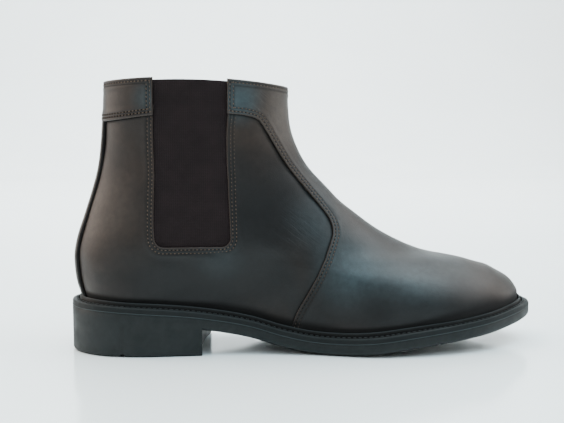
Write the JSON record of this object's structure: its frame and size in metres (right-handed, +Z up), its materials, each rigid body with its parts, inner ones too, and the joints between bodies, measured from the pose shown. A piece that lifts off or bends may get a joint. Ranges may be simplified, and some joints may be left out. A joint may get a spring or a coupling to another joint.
{
  "type": "chelsea boot",
  "caption": "Ankle-height slip-on leather boot for the right foot with elastic side gores, a welted low-heeled rubber sole and stitched overlay panels.",
  "frame": {"origin": "centre of the plan bounding box, on the floor plane under the heel and forepart", "axes": "+X from heel to toe, +Y towards the inner (medial) side of the right foot, +Z up"},
  "size_m": [0.3008, 0.1, 0.1708],
  "materials": {
    "leather_upper": "waxed pull-up, soft sheen",
    "leather_piping": "matt dark edge",
    "elastic_gore": "fine ribbed elastic knit",
    "stiffener": "stiffened fibre sheet",
    "interlining": "woven cotton",
    "leather_lining": "matt lining leather",
    "suede_heel_lining": "suede",
    "leather_footbed": "matt leather",
    "foam_pad": "foam",
    "insole_fibreboard": "pressed fibre board",
    "steel": "plain",
    "cork_filler": "pressed cork",
    "rubber_welt": "matt moulded",
    "rubber_sole": "matt moulded",
    "plastic_core": "moulded"
  },
  "bodies": {
    "root": {"vamp": "leather_upper", "quarter_lateral": "leather_upper", "quarter_medial": "leather_upper", "back_collar": "leather_upper", "backstay": "leather_upper", "backstay_piping_lateral": "leather_piping", "backstay_piping_medial": "leather_piping", "gore_lateral": "elastic_gore", "gore_medial": "elastic_gore", "toe_puff": "stiffener", "vamp_interlining": "interlining", "heel_counter": "stiffener", "vamp_lining": "leather_lining", "quarter_lining_lateral": "leather_lining", "quarter_lining_medial": "leather_lining", "heel_lining": "suede_heel_lining", "footbed": "leather_footbed", "heel_pad": "foam_pad", "insole_board": "insole_fibreboard", "shank": "steel", "shank_rivet_1": "steel", "shank_rivet_2": "steel", "bottom_filler": "cork_filler", "welt": "rubber_welt", "outsole": "rubber_sole", "heel_core": "plastic_core", "heel_nail_1": "steel", "heel_nail_2": "steel", "heel_nail_3": "steel", "heel_nail_4": "steel", "heel_nail_5": "steel"}
  },
  "joints": []
}
